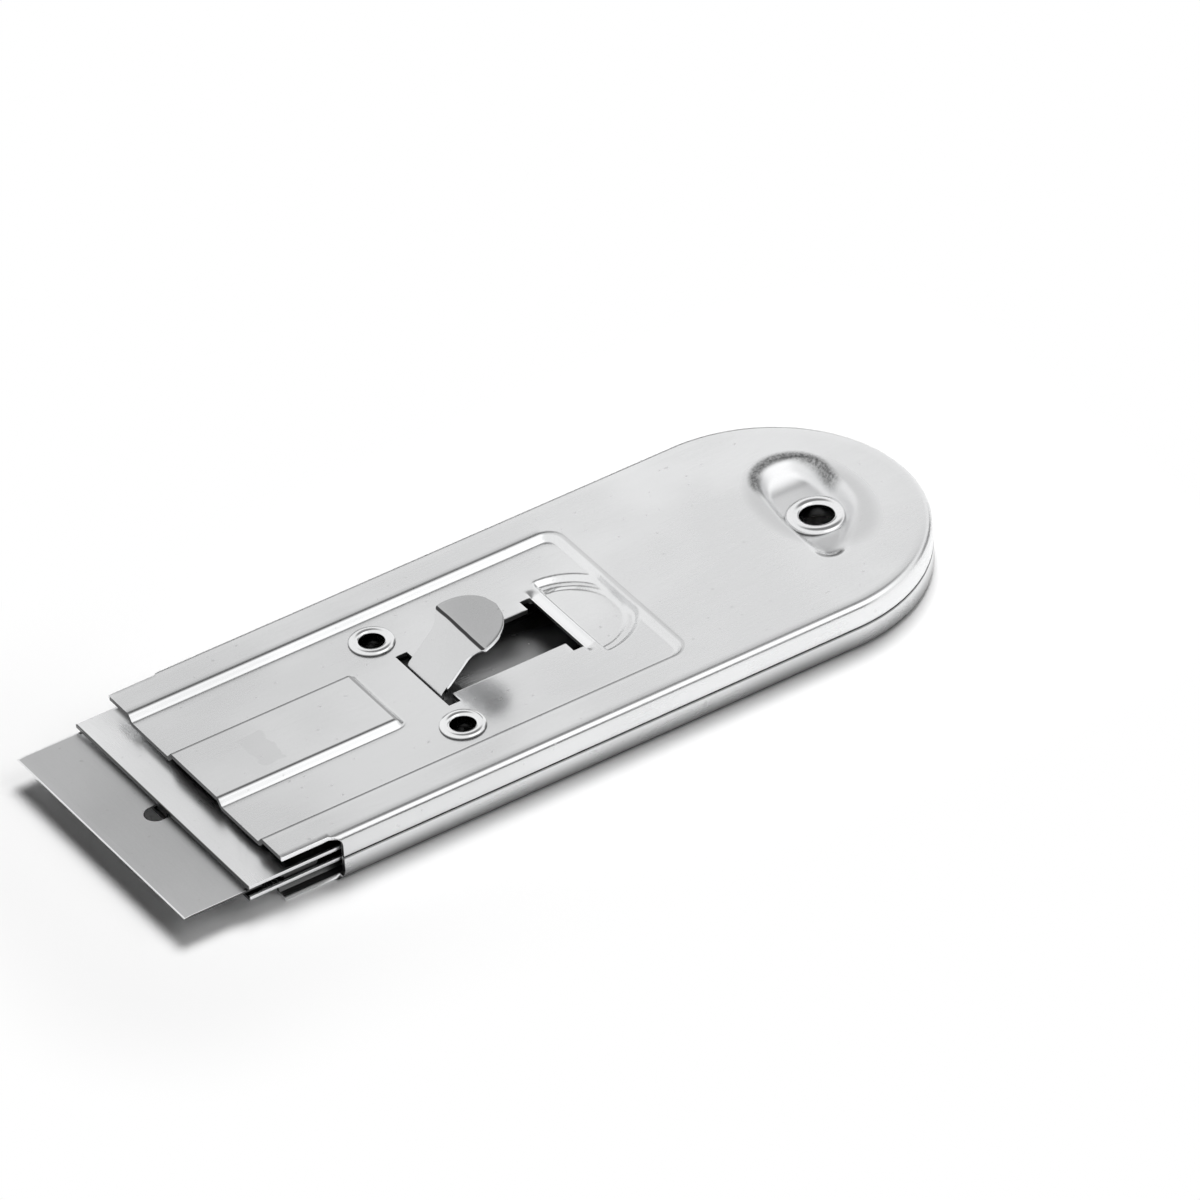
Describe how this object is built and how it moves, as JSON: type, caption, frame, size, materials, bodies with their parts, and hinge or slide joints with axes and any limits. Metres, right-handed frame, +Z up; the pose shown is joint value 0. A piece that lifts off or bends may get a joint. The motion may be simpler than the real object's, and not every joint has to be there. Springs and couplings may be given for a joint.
{
  "type": "razor blade scraper",
  "caption": "Flat pocket scraper of pressed sheet steel: a thumb tab in a window slides a single-edge blade out of and back into the round-ended body.",
  "frame": {"origin": "under the middle of the whole tool with the blade out, on the plane that the bottom shell rests on", "axes": "+X from the cutting edge to the round end, +Y across the tool, +Z up through the thumb tab"},
  "size_m": [0.115, 0.041, 0.0122],
  "materials": {
    "shell_steel": "bright satin plating on pressed sheet steel",
    "eyelet_steel": "bright nickel plating on rolled eyelets and rivets",
    "holder_steel": "satin plated folded sheet",
    "blade_steel": "matt grey hardened steel with a ground edge",
    "spring_steel": "satin spring steel"
  },
  "bodies": {
    "housing": {"top_shell": "shell_steel", "bottom_shell": "shell_steel", "body_eyelet_near": "eyelet_steel", "body_eyelet_far": "eyelet_steel", "hang_eyelet": "eyelet_steel"},
    "carriage": {"blade_holder": "holder_steel", "razor_blade": "blade_steel", "blade_spine": "holder_steel", "rivet_near": "eyelet_steel", "rivet_far": "eyelet_steel"},
    "thumb": {"thumb_spring": "spring_steel"}
  },
  "joints": [
    {"name": "blade_slide", "type": "slide", "parent": "housing", "child": "carriage", "axis": [1, 0, 0], "range_m": [0, 0.01775]},
    {"name": "thumb_press", "type": "hinge", "parent": "carriage", "child": "thumb", "pos_m": [-0.0341, 0, 0.00442], "axis": [0, 1, 0], "range_deg": [0, 1.6], "stiffness_Nm_per_rad": 5}
  ]
}
